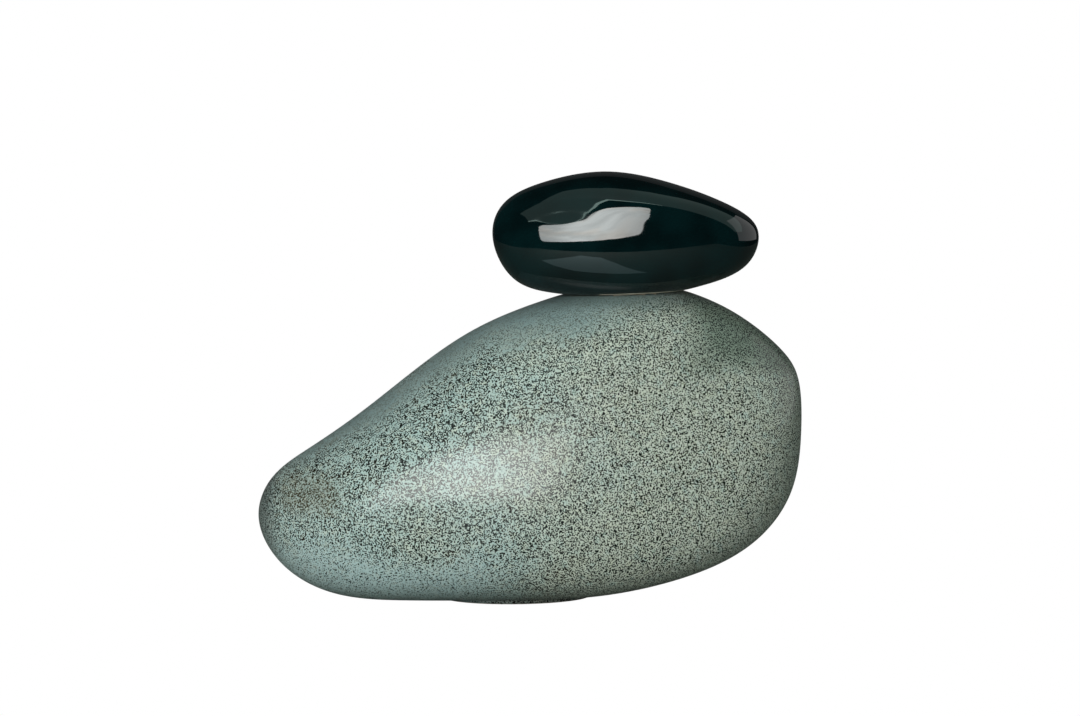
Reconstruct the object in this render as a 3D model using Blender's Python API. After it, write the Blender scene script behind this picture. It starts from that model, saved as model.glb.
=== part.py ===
"""A lidded ceramic vessel in the form of two stacked river pebbles.

The large pebble is a hollow slip-cast vessel on a low flat foot. Its crown is cut
flat as a seat, with a round mouth in it. The small pebble is the lid: hollow, cut
flat underneath, with a short collar that drops into the mouth. The lid only rests
there, so nothing in this object moves.

Frame: +X from the narrow end to the thick end, -Y the side that faces the viewer,
+Z up, origin under the middle of the vessel at the level of the foot.
"""

import math

import bmesh
import bpy
import numpy as np
from mathutils import Matrix, Vector

MM = 0.001

# Large pebble, the vessel. Outline points are (x, z) seen from the front and (x, y)
# seen from above, in millimetres, as closed loops that begin at the narrow tip.
VESSEL_ENDS = (-160.0, 160.0)
VESSEL_FRONT = [
    (-160.0, 47.1),
    (-152.0, 70.6),
    (-130.0, 88.2),
    (-99.0, 109.8),
    (-64.0, 137.1),
    (-29.0, 160.0),
    (14.0, 177.0),
    (58.0, 185.8),
    (98.0, 178.4),
    (127.0, 163.7),
    (149.0, 145.0),
    (158.0, 129.3),
    (160.0, 97.3),
    (153.5, 60.4),
    (128.0, 30.4),
    (84.0, 12.0),
    (34.0, 3.0),
    (-20.0, 1.3),
    (-76.0, 0.8),
    (-117.0, 4.8),
    (-146.7, 20.9),
]
VESSEL_PLAN = [
    (-160.0, 2.0),
    (-151.0, -28.3),
    (-112.0, -63.0),
    (-68.0, -77.6),
    (-20.0, -84.7),
    (40.0, -80.0),
    (98.0, -64.4),
    (143.0, -37.6),
    (160.0, 2.0),
    (149.0, 36.0),
    (105.0, 63.8),
    (45.0, 81.5),
    (-15.0, 84.0),
    (-70.0, 74.5),
    (-118.0, 53.0),
    (-151.0, 29.0),
]
# How far above or below its middle each ring is widest, at the narrow end, half way
# and the thick end, as a share of the ring's half height; it fades out at the tips
VESSEL_LEAN = (-0.02, -0.37, -0.51)
# How flat a ring is on top and underneath, from 0 for an oval to 1
VESSEL_FLATNESS = (0.13, 0.48)
# Soft swells: x, reach along x, turn around the ring, reach around it, height
VESSEL_SWELLS = [
    (-77.0, 33.5, 188.0, 17.0, -1.6),
    (56.5, 67.5, 144.5, 18.0, -1.8),
    (57.0, 48.0, 55.0, 20.0, 2.2),
    (57.0, 48.0, 125.0, 20.0, 2.2),
]
VESSEL_SHAPE = (
    VESSEL_ENDS,
    VESSEL_FRONT,
    VESSEL_PLAN,
    VESSEL_LEAN,
    VESSEL_FLATNESS,
    VESSEL_SWELLS,
)
VESSEL_WALL = 6.0 * MM

# Small pebble, the lid, in the same way
LID_ENDS = (-22.0, 134.0)
LID_FRONT = [
    (-22.0, 213.0),
    (-15.0, 232.7),
    (8.0, 244.6),
    (44.0, 250.8),
    (80.0, 244.9),
    (110.0, 234.4),
    (129.5, 222.9),
    (134.0, 212.5),
    (127.0, 196.3),
    (98.0, 183.6),
    (58.0, 176.3),
    (18.0, 179.2),
    (-9.0, 187.5),
]
LID_PLAN = [
    (-22.0, 0.0),
    (-16.0, -14.8),
    (6.0, -28.4),
    (42.0, -36.6),
    (80.0, -35.6),
    (114.0, -27.3),
    (130.0, -11.4),
    (134.0, 0.0),
    (129.0, 12.0),
    (110.0, 25.0),
    (78.0, 34.8),
    (42.0, 37.0),
    (8.0, 30.5),
    (-15.0, 16.5),
]
LID_LEAN = (-0.06, -0.06, 0.19)
LID_FLATNESS = (0.28, 0.57)
LID_SWELLS = [
    (18.5, 24.5, 155.0, 12.0, -1.2),
    (69.5, 26.5, 147.5, 15.0, 2.6),
]
LID_SHAPE = (LID_ENDS, LID_FRONT, LID_PLAN, LID_LEAN, LID_FLATNESS, LID_SWELLS)
LID_WALL = 5.0 * MM

# Seat on the vessel's crown, which the lid's flat base rests on
SEAT_CENTRE = Vector((57.0 * MM, 0.0, 180.3 * MM))
SEAT_TILT = math.radians(2.2)
SEAT_GAP = 0.3 * MM

# Mouth in the seat, and the collar under the lid that drops into it
MOUTH_RADIUS = 21.0 * MM
COLLAR_RADIUS = 18.5 * MM
COLLAR_BORE = 13.5 * MM
COLLAR_DEPTH = 13.0 * MM

# Foot, a low oval pad that the vessel stands on
FOOT_CENTRE_X = -8.0 * MM
FOOT_LENGTH = 88.0 * MM
FOOT_WIDTH = 62.0 * MM
FOOT_TURN = math.radians(8.0)
FOOT_TOP = 5.0 * MM

# Fineness of the faceted solids: rings along the length, and points around each
OUTER_VESSEL = (42, 48)
INNER_VESSEL = (24, 24)
OUTER_LID = (32, 34)
INNER_LID = (18, 20)
ROUND_SIDES = 40
OUTLINE_STEPS = 40
SHARP_ANGLE = math.radians(35)


def smooth_loop(points, ends, steps=OUTLINE_STEPS):
    """Samples the closed curve through the points, with no jump in its curvature.

    The curve is stretched along x to reach exactly from one end to the other.
    """
    knots = np.array(points, float)
    ahead = np.roll(knots, -1, axis=0)
    chord = np.sqrt(np.linalg.norm(ahead - knots, axis=1))
    count = len(knots)
    system = np.zeros((count, count))
    for i in range(count):
        system[i, i - 1] = chord[i - 1]
        system[i, i] = 2 * (chord[i - 1] + chord[i])
        system[i, (i + 1) % count] = chord[i]
    slopes = (ahead - knots) / chord[:, None]
    bend = np.linalg.solve(system, 6 * (slopes - np.roll(slopes, 1, axis=0)))
    t = np.linspace(0, 1, steps, endpoint=False)[None, :, None]
    here, there = bend[:, None, :], np.roll(bend, -1, axis=0)[:, None, :]
    pull = (2 - t) * here + (1 + t) * there
    span = chord[:, None, None] ** 2 / 6
    curve = knots[:, None, :] * (1 - t) + ahead[:, None, :] * t - span * t * (1 - t) * pull
    loop = curve.reshape(-1, 2)
    low, high = loop[:, 0].min(), loop[:, 0].max()
    loop[:, 0] = ends[0] + (loop[:, 0] - low) / (high - low) * (ends[1] - ends[0])
    return loop


def limits_at(loop, x):
    """Lowest and highest second coordinate of a closed loop at each x."""
    left, right = loop[:, 0].argmin(), loop[:, 0].argmax()
    turned = np.roll(loop, -left, axis=0)
    split = (right - left) % len(loop)
    one = turned[: split + 1]
    other = np.vstack([turned[split:], turned[:1]])[::-1]
    a = np.interp(x, one[:, 0], one[:, 1])
    b = np.interp(x, other[:, 0], other[:, 1])
    return np.minimum(a, b), np.maximum(a, b)


def pebble_points(shape, stations, around):
    """Rings of points along X that keep to both outlines, and the two tips."""
    ends, front, plan, lean, flatness, swells = shape
    side, above = smooth_loop(front, ends), smooth_loop(plan, ends)
    turn = (np.arange(stations) + 0.5) / stations * math.pi
    u = -np.cos(np.concatenate([[0], turn, [math.pi]]))[:, None]
    x = (ends[0] + ends[1]) / 2 + (ends[1] - ends[0]) / 2 * u
    low, high = limits_at(side, x)
    near, far = limits_at(above, x)
    angle = np.arange(around) / around * 2 * math.pi
    c, s = np.cos(angle)[None, :], np.sin(angle)[None, :]

    left, middle, right = lean
    settle = 1 - u**4
    lift = middle + (right - left) / 2 * u + ((right + left) / 2 - middle) * u**2
    lift = lift * settle
    full_top = flatness[0] * (1 - lift) ** 2 / 2
    full_base = flatness[1] * (1 + lift) ** 2 / 2
    full = settle * ((full_top + full_base) / 2 + (full_top - full_base) / 2 * s)
    warped = np.sin(angle[None, :] + np.arcsin(lift / (1 + full)) * c)
    y = (far + near) / 2 + (far - near) / 2 * c * (1 + full * s**2)
    z = (high + low) / 2 + (high - low) / 2 * warped * (1 + full * c**2)

    for centre, reach, facing, spread, height in swells:
        off = np.degrees(angle)[None, :] - facing
        off = (off + 180) % 360 - 180
        swell = height * np.exp(-(((x - centre) / reach) ** 2) - (off / spread) ** 2)
        swell = swell * np.sqrt(1 - u**2)
        y, z = y + swell * c, z + swell * s
    points = np.stack([np.broadcast_to(x, y.shape), y, z], axis=2) * MM
    return points[1:-1], points[0].mean(axis=0), points[-1].mean(axis=0)


def pebble(shape, stations, around):
    """A closed bmesh of rings joined by quads, with a fan at each tip."""
    rings, tip_left, tip_right = pebble_points(shape, stations, around)
    bm = bmesh.new()
    rows = [[bm.verts.new(point) for point in ring] for ring in rings]
    first, last = bm.verts.new(tip_left), bm.verts.new(tip_right)
    for i in range(around):
        j = (i + 1) % around
        bm.faces.new((first, rows[0][i], rows[0][j]))
        bm.faces.new((last, rows[-1][j], rows[-1][i]))
        for here, there in zip(rows, rows[1:]):
            bm.faces.new((here[i], there[i], there[j], here[j]))
    bmesh.ops.recalc_face_normals(bm, faces=bm.faces)
    return bm


def inset(bm, wall):
    """Moves every point inwards, so the surface lies one wall thickness inside."""
    bm.normal_update()
    moved = [vert.co - vert.normal * wall for vert in bm.verts]
    for vert, place in zip(bm.verts, moved):
        vert.co = place


def cut_flat(bm, point, outward):
    """Slices off what lies beyond the plane, and closes the cut with a flat face."""
    geometry = list(bm.verts) + list(bm.edges) + list(bm.faces)
    cut = bmesh.ops.bisect_plane(
        bm, geom=geometry, plane_co=point, plane_no=outward, clear_outer=True
    )
    rim = [part for part in cut["geom_cut"] if isinstance(part, bmesh.types.BMEdge)]
    bmesh.ops.contextual_create(bm, geom=rim)
    bmesh.ops.recalc_face_normals(bm, faces=bm.faces)


def cylinder(radius_x, radius_y, low, high):
    """A closed oval cylinder along Z."""
    bm = bmesh.new()
    bmesh.ops.create_cone(
        bm,
        cap_ends=True,
        segments=ROUND_SIDES,
        radius1=1.0,
        radius2=1.0,
        depth=high - low,
        matrix=Matrix.Translation((0, 0, (low + high) / 2)),
    )
    bmesh.ops.scale(bm, vec=(radius_x, radius_y, 1.0), verts=bm.verts)
    return bm


def add_object(name, bm, material=None, place=None):
    """Makes a mesh object from a bmesh, smooth shaded, at the given place."""
    mesh = bpy.data.meshes.new(name)
    bm.to_mesh(mesh)
    bm.free()
    mesh.shade_smooth()
    mesh.set_sharp_from_angle(angle=SHARP_ANGLE)
    obj = bpy.data.objects.new(name, mesh)
    bpy.context.scene.collection.objects.link(obj)
    if material:
        mesh.materials.append(material)
    if place:
        obj.matrix_world = place
    return obj


def helper(name, bm, place=None):
    """An object that only cuts or joins others."""
    obj = add_object(name, bm, place=place)
    obj.hide_render = True
    obj.display_type = "WIRE"
    return obj


def boolean(obj, other, operation):
    """Adds a Boolean modifier that joins or cuts obj with another object."""
    modifier = obj.modifiers.new(f"{operation.lower()} {other.name}", "BOOLEAN")
    modifier.operation = operation
    modifier.object = other
    modifier.solver = "EXACT"


def glaze(name, colour, roughness):
    """A plain glazed finish."""
    material = bpy.data.materials.new(name)
    material.use_nodes = True
    shader = material.node_tree.nodes["Principled BSDF"]
    shader.inputs["Base Color"].default_value = (*colour, 1.0)
    shader.inputs["Roughness"].default_value = roughness
    shader.inputs["Metallic"].default_value = 0.0
    return material


def seat_frame():
    """The seat's own axes: Z out of the seat, X along the pebbles' length."""
    return Matrix.Translation(SEAT_CENTRE) @ Matrix.Rotation(-SEAT_TILT, 4, "Y")


def make_vessel(seat):
    """The large pebble: a shell on an oval foot, with a flat seat and a round mouth."""
    up = (seat.to_3x3() @ Vector((0, 0, 1))).normalized()
    outside = pebble(VESSEL_SHAPE, *OUTER_VESSEL)
    cut_flat(outside, SEAT_CENTRE, up)
    speckled = glaze("speckled celadon glaze", (0.25, 0.30, 0.26), 0.22)
    vessel = add_object("vessel", outside, speckled)

    pad = cylinder(FOOT_LENGTH / 2, FOOT_WIDTH / 2, 0.0, FOOT_TOP)
    place = Matrix.Translation((FOOT_CENTRE_X, 0, 0)) @ Matrix.Rotation(FOOT_TURN, 4, "Z")
    foot = helper("foot pad", pad, place)
    boolean(vessel, foot, "UNION")

    inside = pebble(VESSEL_SHAPE, *INNER_VESSEL)
    inset(inside, VESSEL_WALL)
    cut_flat(inside, SEAT_CENTRE - up * VESSEL_WALL, up)
    boolean(vessel, helper("vessel cavity", inside), "DIFFERENCE")

    reach = 2 * VESSEL_WALL
    mouth = cylinder(MOUTH_RADIUS, MOUTH_RADIUS, -reach, reach)
    boolean(vessel, helper("mouth cutter", mouth, seat), "DIFFERENCE")
    return vessel


def make_lid(seat):
    """The small pebble: a shell cut flat underneath, open through its collar."""
    down = (seat.to_3x3() @ Vector((0, 0, -1))).normalized()
    base = SEAT_CENTRE - down * SEAT_GAP
    outside = pebble(LID_SHAPE, *OUTER_LID)
    cut_flat(outside, base, down)
    dark = glaze("dark gloss glaze", (0.002, 0.012, 0.013), 0.05)
    lid = add_object("lid", outside, dark)

    collar = cylinder(COLLAR_RADIUS, COLLAR_RADIUS, -COLLAR_DEPTH, LID_WALL)
    boolean(lid, helper("collar", collar, seat), "UNION")

    inside = pebble(LID_SHAPE, *INNER_LID)
    inset(inside, LID_WALL)
    cut_flat(inside, base - down * LID_WALL, down)
    boolean(lid, helper("lid cavity", inside), "DIFFERENCE")

    bore = cylinder(COLLAR_BORE, COLLAR_BORE, -COLLAR_DEPTH - LID_WALL, 2 * LID_WALL)
    boolean(lid, helper("collar bore", bore, seat), "DIFFERENCE")
    return lid


def build():
    for obj in list(bpy.data.objects):
        bpy.data.objects.remove(obj)
    seat = seat_frame()
    make_vessel(seat)
    make_lid(seat)


build()
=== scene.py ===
# %% [markdown]
# # A lidded vessel in the form of two stacked river pebbles
#
# The real object is slip-cast stoneware: a large hollow pebble with a speckled
# celadon glaze, and a small hollow pebble, glazed dark and glossy, that lifts off
# as its lid. Nothing moves, so every piece rides on the one body "root".
#
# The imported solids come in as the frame. They have the right shape but few facets,
# so this lesson makes both pebbles again as fine meshes from the same outlines,
# and spends most of its effort on the glazes and on the light that shows them.

# %% Load the frame
import math

import bmesh
import bpy
import numpy as np
from mathutils import Matrix, Vector


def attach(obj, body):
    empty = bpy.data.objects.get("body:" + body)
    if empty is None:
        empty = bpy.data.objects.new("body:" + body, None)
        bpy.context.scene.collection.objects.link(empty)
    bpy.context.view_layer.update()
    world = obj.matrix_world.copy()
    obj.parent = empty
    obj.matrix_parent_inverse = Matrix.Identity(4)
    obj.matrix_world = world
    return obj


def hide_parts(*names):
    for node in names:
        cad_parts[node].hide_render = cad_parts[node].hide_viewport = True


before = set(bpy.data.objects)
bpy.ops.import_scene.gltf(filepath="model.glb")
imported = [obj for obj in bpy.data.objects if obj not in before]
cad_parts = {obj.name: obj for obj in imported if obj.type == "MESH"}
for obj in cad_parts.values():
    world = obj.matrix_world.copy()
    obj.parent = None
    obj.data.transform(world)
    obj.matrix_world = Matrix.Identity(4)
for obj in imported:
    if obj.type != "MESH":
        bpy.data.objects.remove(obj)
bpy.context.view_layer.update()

MM = 0.001
print("nodes:", sorted(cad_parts))

# %% [markdown]
# ## The camera
#
# The photo was taken from a little above with a long lens: the lid's flat base
# shows as a shallow arc, and the edge of the foot shows below the belly. Both arcs
# together give the height of the camera, 345 mm above the table at 2.2 m. Its aim
# puts the vessel where it is in the frame, so no lens shift is needed.

# %% The camera
CAMERA_PLACE = Vector((5.9, -2200.0, 345.0)) * MM
CAMERA_DIP = math.radians(5.29)
LENS_MM = 125.4

camera_data = bpy.data.cameras.new("camera")
camera_data.sensor_width = 36.0
camera_data.lens = LENS_MM
camera = bpy.data.objects.new("camera", camera_data)
camera.location = CAMERA_PLACE
camera.rotation_euler = (math.pi / 2 - CAMERA_DIP, 0, 0)
bpy.context.scene.collection.objects.link(camera)
bpy.context.scene.camera = camera
print("camera", LENS_MM, "mm lens,", round(CAMERA_PLACE.length, 2), "m from the origin")

# %% [markdown]
# ## The form of a pebble
#
# A river pebble has no edges and no straight lines, but it isn't an egg either: it
# is widest low down, flat underneath, and each end is rounded in its own way. One
# could sculpt it, or subdivide a rough cage. Here each pebble is lofted instead:
# its outline from the front and its outline from above are smooth closed curves
# through a few points, and rings along the length keep to both. The curve is a
# cubic spline with continuous curvature, because a mirror-like glaze shows any
# jump in curvature as a kink in the reflections.

# %% The smooth outline
def smooth_loop(points, ends, steps):
    """Samples a closed curve with continuous curvature, stretched to reach both ends."""
    knots = np.array(points, float)
    ahead = np.roll(knots, -1, axis=0)
    chord = np.sqrt(np.linalg.norm(ahead - knots, axis=1))
    count = len(knots)
    system = np.zeros((count, count))
    for i in range(count):
        system[i, i - 1] = chord[i - 1]
        system[i, i] = 2 * (chord[i - 1] + chord[i])
        system[i, (i + 1) % count] = chord[i]
    slopes = (ahead - knots) / chord[:, None]
    bend = np.linalg.solve(system, 6 * (slopes - np.roll(slopes, 1, axis=0)))
    t = np.linspace(0, 1, steps, endpoint=False)[None, :, None]
    here, there = bend[:, None, :], np.roll(bend, -1, axis=0)[:, None, :]
    pull = (2 - t) * here + (1 + t) * there
    span = chord[:, None, None] ** 2 / 6
    curve = knots[:, None, :] * (1 - t) + ahead[:, None, :] * t - span * t * (1 - t) * pull
    loop = curve.reshape(-1, 2)
    low, high = loop[:, 0].min(), loop[:, 0].max()
    loop[:, 0] = ends[0] + (loop[:, 0] - low) / (high - low) * (ends[1] - ends[0])
    return loop


def limits_at(loop, x):
    """Lowest and highest second coordinate of a closed loop at each x."""
    left, right = loop[:, 0].argmin(), loop[:, 0].argmax()
    turned = np.roll(loop, -left, axis=0)
    split = (right - left) % len(loop)
    one = turned[: split + 1]
    other = np.vstack([turned[split:], turned[:1]])[::-1]
    a = np.interp(x, one[:, 0], one[:, 1])
    b = np.interp(x, other[:, 0], other[:, 1])
    return np.minimum(a, b), np.maximum(a, b)


# %% [markdown]
# A ring isn't an oval. `lean` says how far above or below its middle it is widest,
# `flatness` how flat it is on top and underneath, and each swell adds a soft rise or
# hollow: where it is along x, how far it reaches, which way it faces around the ring
# (0 the back, 90 up, 180 the front), how far it spreads there, and its height.

# %% Rings between the outlines
def pebble_points(shape, stations, around):
    """Rings of points along X that keep to both outlines, and the two tips."""
    ends, front, plan, lean, flatness, swells = shape
    side, above = smooth_loop(front, ends, 200), smooth_loop(plan, ends, 200)
    turn = (np.arange(stations) + 0.5) / stations * math.pi
    u = -np.cos(np.concatenate([[0], turn, [math.pi]]))[:, None]
    x = (ends[0] + ends[1]) / 2 + (ends[1] - ends[0]) / 2 * u
    low, high = limits_at(side, x)
    near, far = limits_at(above, x)
    angle = np.arange(around) / around * 2 * math.pi
    c, s = np.cos(angle)[None, :], np.sin(angle)[None, :]

    left, middle, right = lean
    settle = 1 - u**4
    lift = middle + (right - left) / 2 * u + ((right + left) / 2 - middle) * u**2
    lift = lift * settle
    full_top = flatness[0] * (1 - lift) ** 2 / 2
    full_base = flatness[1] * (1 + lift) ** 2 / 2
    full = settle * ((full_top + full_base) / 2 + (full_top - full_base) / 2 * s)
    warped = np.sin(angle[None, :] + np.arcsin(lift / (1 + full)) * c)
    y = (far + near) / 2 + (far - near) / 2 * c * (1 + full * s**2)
    z = (high + low) / 2 + (high - low) / 2 * warped * (1 + full * c**2)

    for centre, reach, facing, spread, height in swells:
        off = np.degrees(angle)[None, :] - facing
        off = (off + 180) % 360 - 180
        swell = height * np.exp(-(((x - centre) / reach) ** 2) - (off / spread) ** 2)
        swell = swell * np.sqrt(1 - u**2)
        y, z = y + swell * c, z + swell * s
    points = np.stack([np.broadcast_to(x, y.shape), y, z], axis=2) * MM
    return points[1:-1], points[0].mean(axis=0), points[-1].mean(axis=0)


# %% A closed mesh from the rings
def pebble(shape, stations, around):
    """A closed bmesh of rings joined by quads, with a fan at each tip."""
    rings, tip_left, tip_right = pebble_points(shape, stations, around)
    bm = bmesh.new()
    rows = [[bm.verts.new(point) for point in ring] for ring in rings]
    first, last = bm.verts.new(tip_left), bm.verts.new(tip_right)
    for i in range(around):
        j = (i + 1) % around
        bm.faces.new((first, rows[0][i], rows[0][j]))
        bm.faces.new((last, rows[-1][j], rows[-1][i]))
        for here, there in zip(rows, rows[1:]):
            bm.faces.new((here[i], there[i], there[j], here[j]))
    bmesh.ops.recalc_face_normals(bm, faces=bm.faces)
    return bm


def inset(bm, wall):
    """Moves every point inwards, so the surface lies one wall thickness inside."""
    bm.normal_update()
    moved = [vert.co - vert.normal * wall for vert in bm.verts]
    for vert, place in zip(bm.verts, moved):
        vert.co = place


# %% [markdown]
# ## The large pebble's outlines
#
# All points are in millimetres in the frame's own axes, read off the photo with the
# camera above and rounded. The view from above isn't in the photo: it follows from
# where the light's reflection lies on the front, which needs a long, nearly flat
# stretch left of the middle.

# %% The vessel's shape
VESSEL_SHAPE = (
    (-160.0, 160.0),
    [
        (-160.0, 47.1), (-152.0, 70.6), (-130.0, 88.2), (-99.0, 109.8), (-64.0, 137.1),
        (-29.0, 160.0), (14.0, 177.0), (58.0, 185.8), (98.0, 178.4), (127.0, 163.7),
        (149.0, 145.0), (158.0, 129.3), (160.0, 97.3), (153.5, 60.4), (128.0, 30.4),
        (84.0, 12.0), (34.0, 3.0), (-20.0, 1.3), (-76.0, 0.8), (-117.0, 4.8), (-146.7, 20.9),
    ],
    [
        (-160.0, 2.0), (-151.0, -28.3), (-112.0, -63.0), (-68.0, -77.6), (-20.0, -84.7),
        (40.0, -80.0), (98.0, -64.4), (143.0, -37.6), (160.0, 2.0), (149.0, 36.0),
        (105.0, 63.8), (45.0, 81.5), (-15.0, 84.0), (-70.0, 74.5), (-118.0, 53.0),
        (-151.0, 29.0),
    ],
    (-0.02, -0.37, -0.51),
    (0.13, 0.48),
    [
        (-77.0, 33.5, 188.0, 17.0, -1.6),
        (56.5, 67.5, 144.5, 18.0, -1.8),
        (57.0, 48.0, 55.0, 20.0, 2.2),
        (57.0, 48.0, 125.0, 20.0, 2.2),
    ],
)
LID_SHAPE = (
    (-22.0, 134.0),
    [
        (-22.0, 213.0), (-15.0, 232.7), (8.0, 244.6), (44.0, 250.8), (80.0, 244.9),
        (110.0, 234.4), (129.5, 222.9), (134.0, 212.5), (127.0, 196.3), (98.0, 183.6),
        (58.0, 176.3), (18.0, 179.2), (-9.0, 187.5),
    ],
    [
        (-22.0, 0.0), (-16.0, -14.8), (6.0, -28.4), (42.0, -36.6), (80.0, -35.6),
        (114.0, -27.3), (130.0, -11.4), (134.0, 0.0), (129.0, 12.0), (110.0, 25.0),
        (78.0, 34.8), (42.0, 37.0), (8.0, 30.5), (-15.0, 16.5),
    ],
    (-0.06, -0.06, 0.19),
    (0.28, 0.57),
    [(18.5, 24.5, 155.0, 12.0, -1.2), (69.5, 26.5, 147.5, 15.0, 2.6)],
)
SEAT_CENTRE = Vector((57.0, 0.0, 180.3)) * MM
SEAT_TILT = math.radians(2.2)
SEAT_GAP = 0.3 * MM

# %% [markdown]
# ## Where the two stones meet
#
# The lid's base and the vessel's seat are two flat faces, tilted a little because the
# seat follows the fall of the crown. On the real object a kiln has rounded the edge of
# each face by a fraction of a millimetre, which is why it never looks cut. A Boolean
# would leave a knife edge, so the fine mesh is pressed flat instead: each point above
# the plane comes down to it through a soft minimum, which rounds the edge by itself.

# %% Press a pebble flat
SEAT = Matrix.Translation(SEAT_CENTRE) @ Matrix.Rotation(-SEAT_TILT, 4, "Y")
SEAT_UP = (SEAT.to_3x3() @ Vector((0, 0, 1))).normalized()


def press_flat(bm, point, outward, softness):
    """Brings what lies beyond the plane back to it, with a rounded edge."""
    for vert in bm.verts:
        height = (vert.co - point).dot(outward) / softness
        if height > -20:
            pressed = -math.log1p(math.exp(-min(height, 40.0)))
            vert.co += outward * (pressed - height) * softness


# %% [markdown]
# ## Round parts
#
# The foot, the mouth and the collar are turned shapes with soft edges. One could add
# Blender's own cylinders and bevel them. A profile turned about an axis gives the
# rounded edges at once, and one function then serves all of them.

# %% Round parts and Booleans
def lathe(profile, sides, place=None, oval=(1.0, 1.0)):
    """A closed solid turned about Z from (radius, height) points, bottom to top."""
    bm = bmesh.new()
    rows = []
    for radius, height in profile:
        turn = np.arange(sides) / sides * 2 * math.pi
        ring = [(radius * math.cos(a), radius * math.sin(a), height) for a in turn]
        rows.append([bm.verts.new(point) for point in ring])
    for here, there in zip(rows, rows[1:]):
        for i in range(sides):
            j = (i + 1) % sides
            bm.faces.new((here[i], here[j], there[j], there[i]))
    bm.faces.new(rows[0][::-1])
    bm.faces.new(rows[-1])
    bmesh.ops.scale(bm, vec=(oval[0], oval[1], 1.0), verts=bm.verts)
    bmesh.ops.transform(bm, matrix=place or Matrix.Identity(4), verts=bm.verts)
    bmesh.ops.recalc_face_normals(bm, faces=bm.faces)
    return bm


CORNER = [math.radians(a) for a in range(0, 91, 18)]


def rounded_edge(radius, edge, base):
    """Points for the lathe up a rounded lower edge."""
    return [(radius - edge * (1 - math.sin(a)), base + edge * (1 - math.cos(a))) for a in CORNER]


def mesh_object(name, bm):
    """Turns a bmesh into an object in the scene."""
    mesh = bpy.data.meshes.new(name)
    bm.to_mesh(mesh)
    bm.free()
    obj = bpy.data.objects.new(name, mesh)
    bpy.context.scene.collection.objects.link(obj)
    return obj


def apply_boolean(obj, other, operation):
    """Joins or cuts obj with a helper solid, then removes the helper."""
    modifier = obj.modifiers.new(operation.lower(), "BOOLEAN")
    modifier.operation = operation
    modifier.object = other
    modifier.solver = "EXACT"
    graph = bpy.context.evaluated_depsgraph_get()
    made = bpy.data.meshes.new_from_object(obj.evaluated_get(graph))
    obj.modifiers.clear()
    obj.data = made
    bpy.data.objects.remove(other)


# %% [markdown]
# ## The vessel
#
# The fine vessel is one closed skin: the pebble outside, a flat seat, the mouth with a
# rounded lip, the hollow, and a low oval foot with a rounded lower edge. The outside
# comes from the rings. Exact Booleans add the foot and cut the hollow and the mouth, in
# the same places as in the solid. The hollow is the same pebble again, moved inwards by
# the wall, as slip that sets against a mould leaves a wall of even thickness.

# %% Make the vessel
VESSEL_WALL = 6.0 * MM
MOUTH_RADIUS = 21.0 * MM
LIP = 1.5 * MM
FOOT_CENTRE = Vector((-8.0, 0.0, 0.0)) * MM
FOOT_SIZE = (88.0 * MM, 62.0 * MM)
FOOT_TURN = math.radians(8.0)
FOOT_EDGE = 0.7 * MM
FOOT_TOP = 5.0 * MM
SEAT_ROUNDING = 0.35 * MM
HOLLOW_ROUNDING = 0.5 * MM
ROUND_SIDES = 96


def make_vessel(stations, around):
    """The large pebble with its seat, mouth, hollow and foot."""
    bm = pebble(VESSEL_SHAPE, stations, around)
    press_flat(bm, SEAT_CENTRE, SEAT_UP, SEAT_ROUNDING)
    vessel = mesh_object("speckled_vessel", bm)

    place = Matrix.Translation(FOOT_CENTRE) @ Matrix.Rotation(FOOT_TURN, 4, "Z")
    half = FOOT_SIZE[0] / 2
    profile = rounded_edge(half, FOOT_EDGE, 0.0) + [(half, FOOT_TOP)]
    foot = lathe(profile, 160, place, (1.0, FOOT_SIZE[1] / FOOT_SIZE[0]))
    apply_boolean(vessel, mesh_object("foot", foot), "UNION")

    hollow = pebble(VESSEL_SHAPE, 80, 80)
    inset(hollow, VESSEL_WALL)
    press_flat(hollow, SEAT_CENTRE - SEAT_UP * VESSEL_WALL, SEAT_UP, HOLLOW_ROUNDING)
    apply_boolean(vessel, mesh_object("hollow", hollow), "DIFFERENCE")

    reach = 2 * VESSEL_WALL
    lip = [
        (MOUTH_RADIUS + LIP * (1 - math.cos(a)), -LIP * (1 - math.sin(a)))
        for a in CORNER
    ]
    mouth = [(MOUTH_RADIUS, -reach)] + lip + [(MOUTH_RADIUS + LIP, reach)]
    mouth = mesh_object("mouth", lathe(mouth, ROUND_SIDES, SEAT))
    apply_boolean(vessel, mouth, "DIFFERENCE")
    return vessel


VESSEL_MESH = ((280, 220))
vessel = make_vessel(*VESSEL_MESH)
print("vessel:", len(vessel.data.polygons), "faces")

# %% [markdown]
# ## The lid
#
# The lid is made the same way: pressed flat below, with a collar that reaches down into
# the mouth, and hollow, open through the collar. It lies 0.3 mm above the seat.

# %% Make the lid
LID_WALL = 5.0 * MM
COLLAR_RADIUS = 18.5 * MM
COLLAR_BORE = 13.5 * MM
COLLAR_DEPTH = 13.0 * MM
COLLAR_EDGE = 1.0 * MM
LID_BASE = SEAT_CENTRE + SEAT_UP * SEAT_GAP
BASE_ROUNDING = 0.3 * MM
LID_HOLLOW_ROUNDING = 0.4 * MM


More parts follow.
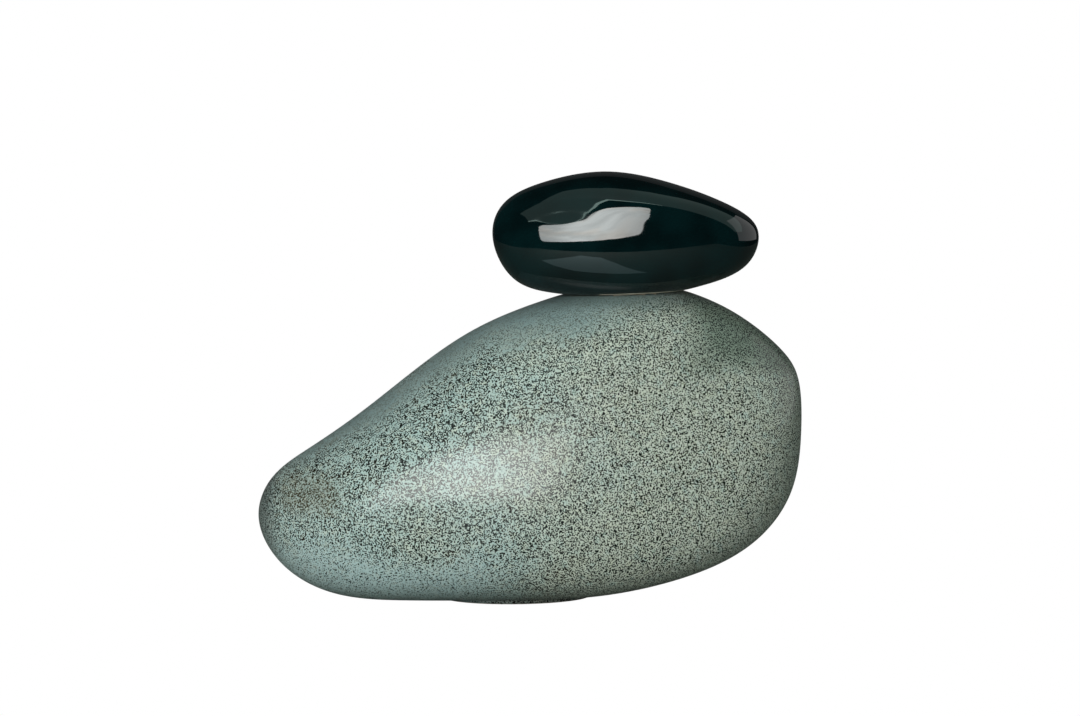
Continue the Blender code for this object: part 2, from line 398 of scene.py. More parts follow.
def make_lid(stations, around):
    """The small pebble with its flat base, collar and hollow."""
    bm = pebble(LID_SHAPE, stations, around)
    press_flat(bm, LID_BASE, -SEAT_UP, BASE_ROUNDING)
    lid = mesh_object("dark_pebble_lid", bm)

    profile = rounded_edge(COLLAR_RADIUS, COLLAR_EDGE, -COLLAR_DEPTH)
    collar = lathe(profile + [(COLLAR_RADIUS, LID_WALL)], ROUND_SIDES, SEAT)
    apply_boolean(lid, mesh_object("collar", collar), "UNION")

    hollow = pebble(LID_SHAPE, 60, 60)
    inset(hollow, LID_WALL)
    press_flat(hollow, LID_BASE + SEAT_UP * LID_WALL, -SEAT_UP, LID_HOLLOW_ROUNDING)
    apply_boolean(lid, mesh_object("lid_hollow", hollow), "DIFFERENCE")

    profile = [(COLLAR_BORE, -COLLAR_DEPTH - LID_WALL), (COLLAR_BORE, 2 * LID_WALL)]
    bore = lathe(profile, ROUND_SIDES, SEAT)
    apply_boolean(lid, mesh_object("bore", bore), "DIFFERENCE")
    return lid


LID_MESH = ((200, 180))
lid = make_lid(*LID_MESH)
print("lid:", len(lid.data.polygons), "faces")

# %% [markdown]
# ## Finishes
#
# Everything on this object is one of three things: the speckled glaze, the dark
# glaze, and the bare clay where glaze was wiped off so that the piece wouldn't fuse
# to its lid or to the kiln shelf. All of it is worked out from the position in the
# object, in metres, so the pattern runs through the solid and needs no unwrapping.
# A few short helpers keep the node code readable.

# %% Helpers for shader nodes
def add_node(tree, kind, inputs=None, **settings):
    """Adds a node; an input takes a value or another node's output."""
    node = tree.nodes.new("ShaderNode" + kind)
    for name, value in settings.items():
        setattr(node, name, value)
    for name, value in (inputs or {}).items():
        if isinstance(value, bpy.types.NodeSocket):
            tree.links.new(value, node.inputs[name])
        else:
            node.inputs[name].default_value = value
    return node


def maths(tree, operation, *values):
    """A Math node's output."""
    inputs = dict(enumerate(values))
    return add_node(tree, "Math", inputs, operation=operation).outputs[0]


def times(tree, product, *others):
    """The product of all the values."""
    for other in others:
        product = maths(tree, "MULTIPLY", product, other)
    return product


def ease(tree, value, low, high, start=0.0, end=1.0):
    """Goes smoothly from start to end while the value goes from low to high."""
    inputs = {"Value": value, "From Min": low, "From Max": high}
    inputs.update({"To Min": start, "To Max": end})
    node = add_node(tree, "MapRange", inputs, interpolation_type="SMOOTHSTEP")
    return node.outputs["Result"]


def noise(tree, place, period, detail=0.0):
    """Soft noise, about 0.5 on average, with this period in metres."""
    inputs = {"Vector": place, "Scale": 1 / period, "Detail": detail}
    return add_node(tree, "TexNoise", inputs).outputs["Fac"]


def blend(tree, factor, first, second):
    """Mixes two colours."""
    node = add_node(tree, "Mix", data_type="RGBA")
    sockets = node.inputs[0], node.inputs[6], node.inputs[7]
    for socket, value in zip(sockets, (factor, first, second)):
        if isinstance(value, bpy.types.NodeSocket):
            tree.links.new(value, socket)
        elif socket.type == "RGBA":
            socket.default_value = (*value, 1.0)
        else:
            socket.default_value = value
    return node.outputs[2]


def height_over(tree, place, point, up):
    """How far a place lies beyond the plane through a point, along up."""
    offset = add_node(tree, "VectorMath", {0: place, 1: tuple(point)}, operation="SUBTRACT")
    inputs = {0: offset.outputs[0], 1: tuple(up)}
    return add_node(tree, "VectorMath", inputs, operation="DOT_PRODUCT").outputs["Value"]


def add_relief(tree, shader, height, distance, strength):
    """Tilts the shader's normal by a height, which reaches this distance in metres."""
    inputs = {"Height": height, "Distance": distance, "Strength": strength}
    bump = add_node(tree, "Bump", inputs)
    tree.links.new(bump.outputs["Normal"], shader.inputs["Normal"])


# %% Node groups and materials
def new_group(name, inputs, outputs):
    """An empty node group; inputs and outputs are lists of (name, kind, value)."""
    tree = bpy.data.node_groups.new(name, "ShaderNodeTree")
    for way, sockets in (("INPUT", inputs), ("OUTPUT", outputs)):
        for label, kind, value in sockets:
            kind = "NodeSocket" + kind
            socket = tree.interface.new_socket(label, in_out=way, socket_type=kind)
            if value is not None:
                socket.default_value = value
    return tree, tree.nodes.new("NodeGroupInput"), tree.nodes.new("NodeGroupOutput")


def place_group(tree, group, **values):
    """Places a node group in a material, with its own values."""
    node = tree.nodes.new("ShaderNodeGroup")
    node.node_tree = group
    for name, value in values.items():
        if isinstance(value, bpy.types.NodeSocket):
            tree.links.new(value, node.inputs[name])
        else:
            node.inputs[name].default_value = value
    return node


def new_material(name):
    """A material with its node tree, its shader and the position in the object."""
    material = bpy.data.materials.new(name)
    material.use_nodes = True
    tree = material.node_tree
    place = add_node(tree, "TexCoord").outputs["Object"]
    return material, tree, tree.nodes["Principled BSDF"], place


# %% [markdown]
# ### Bare clay
#
# Where the glaze was wiped off, the stoneware shows: cream, matt, with fine grog. It
# is seen as a thin line under the lid, and it covers the lid's base and collar, the
# mouth's rim, the insides and the underside of the foot. The glazes fade into the same
# clay at their edge, so its colour and grain are a node group, used by all three.

# %% Clay body
CLAY_DARK, CLAY_LIGHT = (0.48, 0.43, 0.34), (0.62, 0.57, 0.47)
GROG, IRON_SPECK = (0.38, 0.33, 0.25), (0.10, 0.07, 0.05)

clay_body, group_in, group_out = new_group(
    "clay body",
    [("Place", "Vector", None)],
    [("Colour", "Color", None), ("Height", "Float", None)],
)
clay_place = group_in.outputs["Place"]
cloud = noise(clay_body, clay_place, 9 * MM, 3.0)
grog = noise(clay_body, clay_place, 0.7 * MM, 2.0)
specks = ease(clay_body, noise(clay_body, clay_place, 1.6 * MM, 1.0), 0.34, 0.28)
clay_colour = blend(clay_body, cloud, CLAY_DARK, CLAY_LIGHT)
clay_colour = blend(clay_body, ease(clay_body, grog, 0.35, 0.65, 0.0, 0.35), clay_colour, GROG)
clay_colour = blend(clay_body, specks, clay_colour, IRON_SPECK)
clay_height = maths(clay_body, "MULTIPLY_ADD", cloud, 0.5, grog)
clay_body.links.new(clay_colour, group_out.inputs["Colour"])
clay_body.links.new(clay_height, group_out.inputs["Height"])

# %% [markdown]
# A glaze ends where the potter's sponge stopped. It gets thin first, so the dark
# ground shows through, and then there is bare clay, along a line that wanders a
# little. The group takes the height above that line and gives both shares.

# %% Where a glaze ends
glaze_edge, group_in, group_out = new_group(
    "glaze edge",
    [
        ("Place", "Vector", None),
        ("Height", "Float", 0.0),
        ("Line", "Float", 1.0),
        ("Wobble", "Float", 0.4),
    ],
    [("Bare", "Float", None), ("Thin", "Float", None)],
)
edge_place = group_in.outputs["Place"]
wander = maths(glaze_edge, "SUBTRACT", noise(glaze_edge, edge_place, 6 * MM, 2.0), 0.5)
wander = times(glaze_edge, wander, group_in.outputs["Wobble"])
above = maths(glaze_edge, "ADD", group_in.outputs["Height"], wander)
share = maths(glaze_edge, "DIVIDE", above, group_in.outputs["Line"])
glaze_edge.links.new(ease(glaze_edge, share, 1.15, 0.85), group_out.inputs["Bare"])
glaze_edge.links.new(ease(glaze_edge, share, 3.5, 0.9), group_out.inputs["Thin"])

# %% Bare clay
bare_clay, tree, shader, place = new_material("bare_clay")
clay = place_group(tree, clay_body, Place=place)
tree.links.new(clay.outputs["Colour"], shader.inputs["Base Color"])
shader.inputs["Roughness"].default_value = 0.85
shader.inputs["Specular IOR Level"].default_value = 0.3
add_relief(tree, shader, clay.outputs["Height"], 0.25 * MM, 0.6)
print("clay and glaze edge ready")

# %% [markdown]
# ### The speckled glaze
#
# A thick pale glaze over a dark iron one shrinks in the kiln before it melts, and
# draws up into islands. The dark glaze shows between them, as pits where there is
# little of it and as winding cracks where there is more. A painted picture would do
# it, but noise worked out in space has no seams and needs no unwrapping: what lies
# below a threshold is dark, and the threshold says how much.
#
# The zones come first, as shares from 0 to 1. The glaze is calm on the `crown` and
# at the `toe`, low down at the narrow end, where it ran together. It is `coarse`
# over the narrow half, most of all in its `upper` part. Slow patches shift each
# border, so that no zone ends in a straight line.

# %% Speckled glaze: its zones
speckled_glaze, tree, shader, place = new_material("speckled_glaze")
at_x, _, at_z = add_node(tree, "SeparateXYZ", {"Vector": place}).outputs
normal = add_node(tree, "NewGeometry").outputs["Normal"]
upward = add_node(tree, "SeparateXYZ", {"Vector": normal}).outputs["Z"]
patches = maths(tree, "SUBTRACT", noise(tree, place, 50 * MM, 1.0), 0.5)


def with_patches(value, amount):
    """Lets the patches shift a value, so that no zone has a straight border."""
    return maths(tree, "MULTIPLY_ADD", patches, amount, value)


def mostly(zone, least):
    """A share that falls to `least` outside a zone."""
    return maths(tree, "MULTIPLY_ADD", zone, 1.0 - least, least)


crown = ease(tree, with_patches(upward, 0.6), 0.56, 0.98)
crown = times(tree, crown, ease(tree, at_x, 0.105, 0.055))
toe = ease(tree, with_patches(at_z, 0.05), 0.058, 0.014)
toe = times(tree, toe, ease(tree, at_x, 0.010, -0.050))
calm = maths(tree, "MAXIMUM", crown, toe)
upper = ease(tree, with_patches(at_z, 0.05), 0.060, 0.088)
coarse = ease(tree, with_patches(at_x, 0.14), 0.020, -0.030)
coarse = times(tree, coarse, mostly(upper, 0.3))
narrow_end = ease(tree, at_x, -0.100, -0.118)
dense = times(tree, narrow_end, ease(tree, at_z, 0.048, 0.066))

# %% [markdown]
# The pits come from noise with a period of 0.72 to 0.84 mm, about half of what an
# island measures, pushed out of shape by a slower drift. A noise about nine times as
# wide makes clearings: inside them the pale glaze has pulled the pits shut, and a
# crack runs around part of each one. Larger dots, far apart, lie on top.

# %% Speckled glaze: pits and clearings
drift = {"Vector": place, "Scale": 1 / (2.6 * MM), "Detail": 1.0}
drift = add_node(tree, "TexNoise", drift).outputs["Color"]
drift = add_node(tree, "VectorMath", {0: drift, 1: (0.5, 0.5, 0.5)}, operation="SUBTRACT")
drift = add_node(tree, "VectorMath", {0: drift.outputs[0], "Scale": 0.6 * MM}, operation="SCALE")
drawn = add_node(tree, "VectorMath", {0: place, 1: drift.outputs[0]}, operation="ADD").outputs[0]

small, large = noise(tree, drawn, 0.72 * MM), noise(tree, drawn, 0.84 * MM)
step = maths(tree, "SUBTRACT", large, small)
field = maths(tree, "MULTIPLY_ADD", step, coarse, small)
clearing = noise(tree, drawn, 7.0 * MM, 1.0)
clear = ease(tree, clearing, 0.56, 0.62)
clear = times(tree, clear, ease(tree, at_x, 0.050, -0.010, 0.3, 1.0), mostly(upper, 0.4))

threshold = with_patches(ease(tree, calm, 0.0, 1.0, 0.465, 0.396), 0.04)
for zone, rise in ((toe, 0.014), (clear, -0.08), (dense, 0.018)):
    threshold = maths(tree, "MULTIPLY_ADD", zone, rise, threshold)
depth = maths(tree, "SUBTRACT", threshold, field)
speck = ease(tree, depth, -0.016, 0.016)

# %% Speckled glaze: cracks and dots
crack = maths(tree, "ABSOLUTE", maths(tree, "SUBTRACT", clearing, 0.565))
stroke = times(
    tree,
    ease(tree, crack, 0.028, 0.010),
    ease(tree, noise(tree, place, 2.6 * MM), 0.50, 0.57),
    ease(tree, at_x, 0.050, -0.010, 0.15, 1.0),
    mostly(upper, 0.15),
)
dots = times(
    tree,
    ease(tree, noise(tree, place, 1.2 * MM), 0.325, 0.290),
    ease(tree, calm, 0.3, 0.9, 1.0, 0.4),
    ease(tree, at_x, 0.100, 0.000, 0.1, 0.9),
)
dark = maths(tree, "MAXIMUM", maths(tree, "MAXIMUM", speck, stroke), dots)
dark = times(tree, dark, ease(tree, crown, 0.0, 1.0, 1.0, 0.50))
print("speckle nodes:", len(tree.nodes))

# %% [markdown]
# The pale glaze is olive at the thick end and bluish at the narrow one. Each wash
# below goes over the one before it: a share of the surface, and the colour there.
# Some washes are painted light: the crown's calm haze is painted darker as shade
# under the lid, the toe's blue is a painted reflection of the table, and the islands
# are painted darker as shade on the shoulder, at the far end and on the nose, where
# the surface turns from the light. Over the narrow end's ridge the iron glaze shows
# through brown.

# %% Speckled glaze: the islands' colour
OLIVE, BLUISH = (0.292, 0.325, 0.272), (0.224, 0.303, 0.291)
COOLER_OLIVE, WARMER_OLIVE = (0.2336, 0.3315, 0.31008), (0.30952, 0.325, 0.23936)
PALE, CLEARING_BLUE = (0.38, 0.41, 0.36), (0.212, 0.285, 0.272)
TOE_REFLECTION_BLUE, CROWN_SHADE_HAZE = (0.212, 0.292, 0.305), (0.118, 0.172, 0.178)
SHOULDER_SHADE_GREEN, NOSE_SHADE_GREY = (0.105, 0.140, 0.108), (0.085, 0.098, 0.094)

bluish = ease(tree, with_patches(at_x, 0.22), 0.060, -0.070)
bluish = maths(tree, "MAXIMUM", bluish, times(tree, calm, 0.9))
tint = noise(tree, place, 4.5 * MM, 1.0)
mottle = ease(tree, noise(tree, place, 1.6 * MM, 1.0), 0.3, 0.7, 0.0, 0.46)
# Painted shade: the islands are darker on the upper shoulder of the thick end and at its far tip,
# where the surface turns from the light.
shoulder_and_end_shade = ease(tree, with_patches(at_x, 0.05), 0.075, 0.105)
shoulder_and_end_shade = times(tree, shoulder_and_end_shade, ease(tree, with_patches(at_z, 0.05), 0.122, 0.150))
shoulder_and_end_shade = maths(tree, "MAXIMUM", shoulder_and_end_shade, ease(tree, at_x, 0.132, 0.158, 0.0, 0.35))
# Painted shade: the nose's islands go grey towards the tip, where the surface turns away from the
# light.
nose_shade = ease(tree, with_patches(at_x, 0.02), -0.142, -0.157, 0.0, 0.75)

island = OLIVE
for share, colour in (
    (bluish, BLUISH),
    (ease(tree, tint, 0.55, 0.72, 0.0, 0.5), COOLER_OLIVE),
    (ease(tree, tint, 0.45, 0.28, 0.0, 0.4), WARMER_OLIVE),
    (mottle, PALE),
    (times(tree, clear, 0.45), CLEARING_BLUE),
    # The toe's glaze is calm, and its blue tint is a painted reflection of the table.
    (times(tree, toe, 0.5), TOE_REFLECTION_BLUE),
    # The crown's haze is calm glaze, painted darker here as shade under the lid.
    (times(tree, crown, 0.8), CROWN_SHADE_HAZE),
    (times(tree, shoulder_and_end_shade, 0.9), SHOULDER_SHADE_GREEN),
    (nose_shade, NOSE_SHADE_GREY),
):
    island = blend(tree, share, island, colour)
print("islands go from", OLIVE, "to", BLUISH)

# %% Speckled glaze: rims and pits
RIM, BROWN_RIM = (0.092, 0.106, 0.086), (0.085, 0.076, 0.046)
PIT, BROWN_PIT = (0.006, 0.008, 0.007), (0.012, 0.009, 0.005)
RIDGE_BROWN = (0.070, 0.062, 0.036)

ridge = times(
    tree,
    ease(tree, at_z, 0.050, 0.062),
    ease(tree, at_z, 0.085, 0.070),
    narrow_end,
    ease(tree, at_x, -0.152, -0.138),
)
brown = ease(tree, noise(tree, place, 14 * MM, 1.0), 0.55, 0.70, 0.0, 0.7)
brown = maths(tree, "MAXIMUM", ridge, brown)
rim, pit = blend(tree, brown, RIM, BROWN_RIM), blend(tree, brown, PIT, BROWN_PIT)
glaze_colour = blend(tree, ease(tree, depth, -0.035, 0.0), island, rim)
glaze_colour = blend(tree, dark, glaze_colour, pit)
glaze_colour = blend(tree, times(tree, ridge, 0.30), glaze_colour, RIDGE_BROWN)

# %% Speckled glaze: around the seat and at the foot
SEAT_SHADE, FOOT_SHADE = (0.040, 0.060, 0.058), (0.030, 0.035, 0.028)

below = height_over(tree, place, SEAT_CENTRE, -SEAT_UP)
# Painted shade: within about 11 mm below the seat the glaze is darkened towards SEAT_SHADE, where
# the lid shades the crown.
collar = ease(tree, with_patches(below, 0.012), 0.011, 0.001, 0.0, 0.55)
foot_line = place_group(
    tree, glaze_edge, Place=place, Height=at_z, Line=0.3 * MM, Wobble=0.2 * MM
)
clay = place_group(tree, clay_body, Place=place)
glaze_colour = blend(tree, collar, glaze_colour, SEAT_SHADE)
# Just above the foot line the glaze thins and is darkened to FOOT_SHADE: partly the dark ground
# showing through, partly painted shade under the belly.
thin = times(tree, foot_line.outputs["Thin"], 0.6)
glaze_colour = blend(tree, thin, glaze_colour, FOOT_SHADE)
glaze_colour = blend(tree, foot_line.outputs["Bare"], glaze_colour, clay.outputs["Colour"])
tree.links.new(glaze_colour, shader.inputs["Base Color"])

# %% [markdown]
# The melted glaze is glassy all over. A clear coat carries the sharp part of the
# highlight over islands and pits alike, so the pits nearly vanish in it, and the
# rougher glaze below gives the soft glow around it. The pits are only a few
# hundredths of a millimetre deep.

# %% Speckled glaze: gloss and relief
gloss = ease(tree, dark, 0.0, 1.0, 0.40, 0.24)
gloss = maths(tree, "MAXIMUM", gloss, times(tree, foot_line.outputs["Bare"], 0.85))
tree.links.new(gloss, shader.inputs["Roughness"])
shader.inputs["Specular IOR Level"].default_value = 0.26
shader.inputs["Coat Weight"].default_value = 0.33
shader.inputs["Coat Roughness"].default_value = 0.17
relief = maths(tree, "SUBTRACT", noise(tree, place, 2.6 * MM, 1.0), dark)
add_relief(tree, shader, relief, 0.05 * MM, 0.4)
print("speckled glaze:", len(tree.nodes), "nodes")

# %% [markdown]
# ### The dark glaze
#
# The lid has one thick coat of a cobalt and iron glaze, nearly black with some teal
# in it, melted to a mirror. Its reflections carry the whole look, so the surface gets
# only the slightest waviness. Towards the thick end the glaze stops just short of the
# flat base and leaves a cream line of clay; at the other end it runs down to the base.

# %% Waviness of a melted glaze
melt_waves, group_in, group_out = new_group(
    "melt waves",
    [("Place", "Vector", None), ("Period", "Float", 0.01)],
    [("Height", "Float", None)],
)
fineness = maths(melt_waves, "DIVIDE", 1.0, group_in.outputs["Period"])
scaled = {0: group_in.outputs["Place"], "Scale": fineness}
scaled = add_node(melt_waves, "VectorMath", scaled, operation="SCALE").outputs[0]
waves = noise(melt_waves, scaled, 1.0, 1.0)
melt_waves.links.new(waves, group_out.inputs["Height"])

# %% Dark glaze
TEAL_BLACK, TEAL = (0.0004, 0.0030, 0.0034), (0.0007, 0.0060, 0.0066)
THIN_BROWN = (0.04, 0.030, 0.018)

dark_glaze, tree, shader, place = new_material("dark_gloss_glaze")
at_x = add_node(tree, "SeparateXYZ", {"Vector": place}).outputs["X"]
run_down = ease(tree, at_x, 0.042, 0.032, 0.0, 2 * MM)
height = maths(tree, "ADD", height_over(tree, place, LID_BASE, SEAT_UP), run_down)
line = place_group(tree, glaze_edge, Place=place, Height=height, Line=0.6 * MM, Wobble=0.3 * MM)
clay = place_group(tree, clay_body, Place=place)
pool = noise(tree, place, 30 * MM, 2.0)
lid_colour = blend(tree, ease(tree, pool, 0.35, 0.65), TEAL_BLACK, TEAL)
lid_colour = blend(tree, times(tree, line.outputs["Thin"], 0.3), lid_colour, THIN_BROWN)
lid_colour = blend(tree, line.outputs["Bare"], lid_colour, clay.outputs["Colour"])
tree.links.new(lid_colour, shader.inputs["Base Color"])
lid_roughness = ease(tree, line.outputs["Bare"], 0.0, 1.0, 0.03, 0.8)
tree.links.new(lid_roughness, shader.inputs["Roughness"])
shader.inputs["IOR"].default_value = 1.52
waves = place_group(tree, melt_waves, Place=place, Period=9 * MM)
add_relief(tree, shader, waves.outputs["Height"], 0.01 * MM, 0.5)
print("dark glaze:", len(tree.nodes), "nodes")

# %% [markdown]
# ## Glaze and clay on each face
#
# Each piece has its glaze outside and bare clay on the faces that the potter wiped
# or never glazed. One could paint them by hand. Here it follows from where a face
# lies: on the ring wiped around the mouth, inside the wall, on the collar, or flat
# on the table.

# %% Give each face its finish
VESSEL_MIDDLE = Vector((20.0, 0.0, 80.0)) * MM
LID_MIDDLE = Vector((50.0, 0.0, 210.0)) * MM
WIPED_RADIUS = MOUTH_RADIUS + LIP + 2 * MM
SHARP_ANGLE = math.radians(45)


def dress(obj, glaze, bare, is_bare):
    """Gives an object its glaze, and bare clay on the faces that the test picks."""
    obj.data.materials.clear()
    obj.data.materials.append(glaze)
    obj.data.materials.append(bare)
    for face in obj.data.polygons:
        face.material_index = int(is_bare(face))
    obj.data.shade_smooth()
    obj.data.set_sharp_from_angle(angle=SHARP_ANGLE)
    print(obj.name, "bare faces:", sum(face.material_index for face in obj.data.polygons))


def inward(face, middle):
    """True where a face looks towards the middle of its pebble."""
    return face.normal.dot(middle - face.center) > 0


def vessel_bare(face):
    """True on the ring around the mouth, in it, inside, and under the foot."""
    height = (face.center - SEAT_CENTRE).dot(SEAT_UP)
    out = (face.center - SEAT_CENTRE - SEAT_UP * height).length
    on_seat = height > -0.4 * MM and face.normal.dot(SEAT_UP) > 0.9
    in_mouth = height > -2 * VESSEL_WALL and out < MOUTH_RADIUS + LIP + 0.1 * MM
    under_foot = face.center.z < 0.1 * MM
    wiped = on_seat and out < WIPED_RADIUS
    return wiped or in_mouth or under_foot or inward(face, VESSEL_MIDDLE)


def lid_bare(face):
    """True on the flat base, on the collar and inside."""
    height = (face.center - LID_BASE).dot(SEAT_UP)
    return height < 0.1 * MM or inward(face, LID_MIDDLE)


dress(vessel, speckled_glaze, bare_clay, vessel_bare)
dress(lid, dark_glaze, bare_clay, lid_bare)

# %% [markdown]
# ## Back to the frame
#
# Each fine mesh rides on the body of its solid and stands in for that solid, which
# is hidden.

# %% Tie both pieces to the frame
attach(vessel, "root")
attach(lid, "root")
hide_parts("vessel")
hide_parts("lid")

# %% [markdown]
# ## Light
#
# The dark lid is a mirror, so it shows the studio: one large softbox left of the
# camera, a dim panel overhead with a bright front edge, a softbox at the right and a
# faint backdrop. The same softbox makes the long highlight on the vessel. Two fills
# at the sides light the vessel but are kept out of all reflections, as a
# photographer does with flags. Each light is placed by the direction in which the
# object sees it.

# %% Lights
AIM = Vector((0.0, 0.0, 0.13))


def softbox(name, azimuth, elevation, distance, width, height, radiance):
    """A softbox at that azimuth from the camera's side, left if negative, in degrees."""
    data = bpy.data.lights.new(name, "AREA")
    data.shape = "RECTANGLE"
    data.size = width
    data.size_y = height
    data.energy = radiance * math.pi * width * height
    light = bpy.data.objects.new(name, data)
    light.visible_camera = False
    a, e = math.radians(azimuth), math.radians(elevation)
    away = Vector((math.sin(a) * math.cos(e), -math.cos(a) * math.cos(e), math.sin(e)))
    light.location = AIM + away * distance
    light.rotation_euler = away.to_track_quat("Z", "Y").to_euler()
    bpy.context.scene.collection.objects.link(light)
    return light


key = softbox("key softbox", -14.9, 15.6, 1.5, 1.52, 0.71, 10.9)
softbox("right softbox", 108.0, 18.0, 1.6, 1.3, 1.1, 0.62)
for name, azimuth, radiance in (("left fill", -80.0, 3.2), ("right fill", 55.0, 0.9)):
    softbox(name, azimuth, 5.0, 1.6, 1.0, 1.0, radiance).visible_glossy = False
softbox("backdrop", 180.0, 12.0, 2.5, 4.0, 2.5, 0.04)

# %% [markdown]
# ## The cloth of the softbox
#
# The lid shows the softbox as a window with wavy edges and soft folds in it: the
# light's front is worn cloth, a little slack at its top. A plain lamp would give a
# clean rectangle. The lamp's own coordinates, from -1 to 1 each way, say where the
# cloth ends, where it sags, how bright it is and how warm.

# %% Worn cloth
COLD_WHITE, WARM_WHITE = (0.95, 1.0, 0.99), (1.0, 0.985, 0.93)

key.data.use_nodes = True
cloth = key.data.node_tree
spot = add_node(cloth, "NewGeometry").outputs["Parametric"]
across, upwards, _ = add_node(cloth, "SeparateXYZ", {"Vector": spot}).outputs
across = maths(cloth, "MULTIPLY_ADD", across, 2.0, -1.0)
upwards = maths(cloth, "MULTIPLY_ADD", upwards, 2.0, -1.0)
off_middle = maths(cloth, "ABSOLUTE", across)
off_level = maths(cloth, "ABSOLUTE", upwards)
squared = maths(
    cloth, "ADD", maths(cloth, "POWER", off_middle, 10.0), maths(cloth, "POWER", off_level, 10.0)
)
ragged = maths(cloth, "SUBTRACT", noise(cloth, spot, 0.12, 3.0), 0.5)
sag = maths(cloth, "ABSOLUTE", maths(cloth, "ADD", across, 0.23))
sag = times(cloth, ease(cloth, sag, 0.26, 0.0, 0.0, 0.75), ease(cloth, upwards, 0.2, 0.7))
border = maths(cloth, "ADD", squared, maths(cloth, "MULTIPLY_ADD", ragged, 0.8, sag))
inside = ease(cloth, border, 1.02, 0.86)
folds = ease(cloth, noise(cloth, spot, 0.26, 4.0), 0.35, 0.65, 0.86, 1.08)
fade = ease(cloth, off_middle, 0.2, 1.0, 1.0, 0.62)
warmth = ease(cloth, noise(cloth, spot, 0.45, 2.0), 0.42, 0.62)
glow = cloth.nodes["Emission"]
cloth.links.new(times(cloth, inside, folds, fade), glow.inputs["Strength"])
cloth.links.new(blend(cloth, warmth, COLD_WHITE, WARM_WHITE), glow.inputs["Color"])

# %% [markdown]
# ## The panel overhead
#
# The dim band over the window in the lid is a panel that hangs above it. Its front
# edge catches more light and shows as the thin bright line. A mirror shaped like a
# pebble bends straight edges, so each corner is given by the direction in which the
# lid sees it, in metres for each metre of height. The camera doesn't see the panel.

# %% Panels
LID_POINT = (0.056, 0.0, 0.213)
PANEL_TINT = (0.72, 1.0, 0.92, 1.0)


def studio_piece(name, points, **sockets):
    """A flat piece of the studio that the camera doesn't see, and its shader."""
    mesh = bpy.data.meshes.new(name)
    mesh.from_pydata(points, [], [tuple(range(len(points)))])
    material = bpy.data.materials.new(name)
    material.use_nodes = True
    shader = material.node_tree.nodes["Principled BSDF"]
    for socket, value in sockets.items():
        shader.inputs[socket.replace("_", " ")].default_value = value
    mesh.materials.append(material)
    obj = bpy.data.objects.new(name, mesh)
    bpy.context.scene.collection.objects.link(obj)
    obj.visible_camera = False
    return material.node_tree, shader


def panel(name, corners, height, radiance):
    """A glowing panel above the lid."""
    x0, y0, z0 = LID_POINT
    points = [(x0 + x * height, y0 + y * height, z0 + height) for x, y in corners]
    studio_piece(
        name, points, Base_Color=(0, 0, 0, 1), Emission_Color=PANEL_TINT, Emission_Strength=radiance
    )


FRONT_EDGE = [
    (-1.90, -1.42), (-1.60, -1.49), (-1.47, -1.55), (-1.33, -1.645), (-1.22, -1.73),
    (-1.13, -1.80), (-1.06, -1.84), (-1.00, -1.885), (-0.955, -1.95), (-0.80, -1.73),
    (-0.58, -1.28), (-0.32, -0.82), (-0.20, -0.86), (-0.06, -0.93), (0.31, -0.98),
    (0.53, -0.98), (0.78, -0.80), (1.61, -0.80), (6.0, -0.82),
]
BACK_EDGE = [
    (6.0, 0.8), (1.29, 0.70), (0.77, 0.58), (0.40, 0.58), (0.24, 0.50), (0.02, 0.22),
    (-0.14, 0.09), (-0.42, 0.12), (-0.60, -0.08), (-0.84, -0.36), (-1.14, -0.51),
    (-1.66, -0.61),
]
GLOW_WIDTHS = [
    0.03, 0.03, 0.02, 0.012, 0.010, 0.010, 0.015, 0.03, 0.05, 0.09, 0.10, 0.08, 0.08,
    0.08, 0.06, 0.03,
]
glow_side = [(x, y + width) for (x, y), width in zip(FRONT_EDGE, GLOW_WIDTHS)]
panel("overhead_panel", FRONT_EDGE + BACK_EDGE, 1.3, 0.42)
panel("panel_edge", FRONT_EDGE[:len(glow_side)] + glow_side[::-1], 1.29, 4.0)
print("panel corners:", len(FRONT_EDGE) + len(BACK_EDGE))

# %% [markdown]
# ## The room
#
# The object stands alone on pure white, but a white room would wash out the dark
# glaze. So the world is white only to the camera. Reflections see a nearly black
# room, and soft light bounced off the glaze sees a grey one.

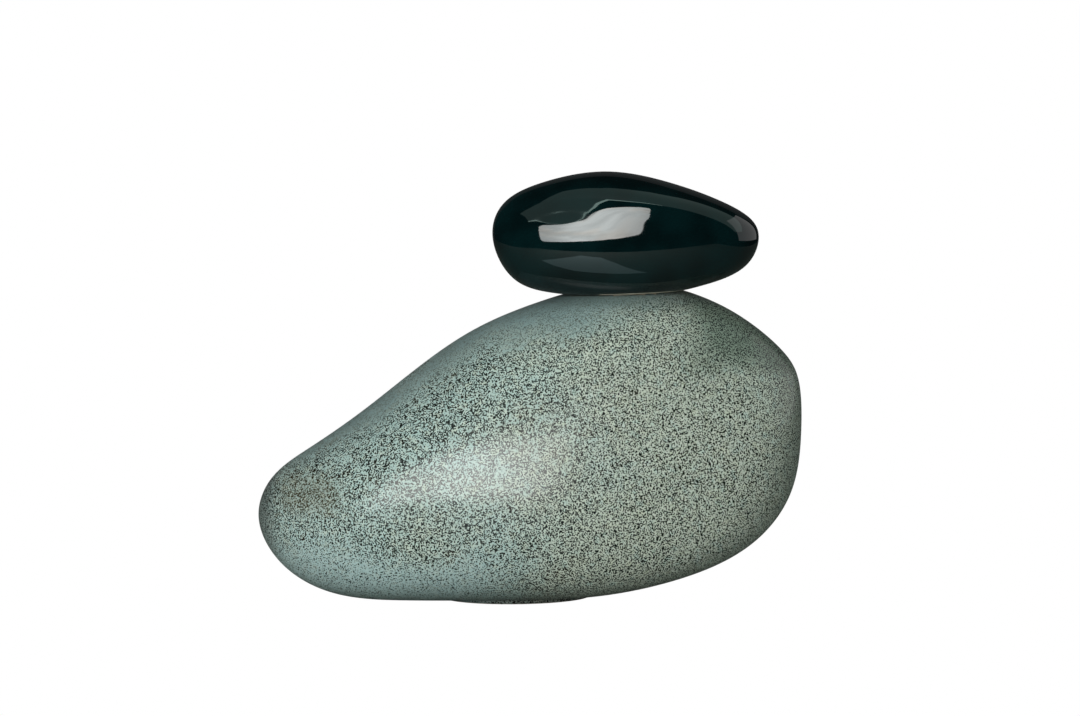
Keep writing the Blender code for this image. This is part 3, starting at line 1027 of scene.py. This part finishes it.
# %% The room
DARK_ROOM, GREY_ROOM, WHITE = (0.010, 0.012, 0.012), (0.21, 0.22, 0.215), (1.0, 1.0, 1.0)

world = bpy.data.worlds.new("studio")
bpy.context.scene.world = world
world.use_nodes = True
world.cycles.sampling_method = "NONE"
room = world.node_tree
room.nodes.clear()
dark_room, grey_room, white = [
    add_node(room, "Background", {"Color": (*colour, 1.0)}).outputs["Background"]
    for colour in (DARK_ROOM, GREY_ROOM, WHITE)
]
ray = add_node(room, "LightPath").outputs
seen = add_node(room, "MixShader", {0: ray["Is Diffuse Ray"], 1: dark_room, 2: grey_room})
seen = add_node(room, "MixShader", {0: ray["Is Camera Ray"], 1: seen.outputs[0], 2: white})
add_node(room, "OutputWorld", {"Surface": seen.outputs[0]})
bpy.context.scene.view_settings.view_transform = "Standard"

# %% [markdown]
# ## The table
#
# The lower half of each stone mirrors the table, which looks dark there, and yet
# the table lights the stones from below. One paper can't do both, so this one is
# dark to reflections and lighter to diffuse rays. A white card lies in front on the
# left, and the lid shows it as the grey patch below the window. The camera sees
# neither of them.

# %% The table and the white card
TABLE_REACH = 1.2
PAPER_MIRRORED, PAPER_LIT = (0.09, 0.105, 0.09), (0.40, 0.42, 0.40)
CARD_TINT = (0.44, 0.56, 0.58, 1.0)
CARD_CORNERS = [
    (-0.40, -0.45), (-0.11, -0.31), (0.13, -0.31), (0.02, -0.60), (-0.09, -0.80),
    (-0.28, -0.87),
]

corners = [(-1, -1), (1, -1), (1, 1), (-1, 1)]
table = [(x * TABLE_REACH, y * TABLE_REACH, -0.2 * MM) for x, y in corners]
tree, paper = studio_piece("table", table, Roughness=0.9)
is_diffuse = add_node(tree, "LightPath").outputs["Is Diffuse Ray"]
tree.links.new(blend(tree, is_diffuse, PAPER_MIRRORED, PAPER_LIT), paper.inputs["Base Color"])
card = [(x, y, 1 * MM) for x, y in CARD_CORNERS]
studio_piece("white_card", card, Base_Color=CARD_TINT, Roughness=0.9)
print("table", 2 * TABLE_REACH, "m wide, card with", len(card), "corners")
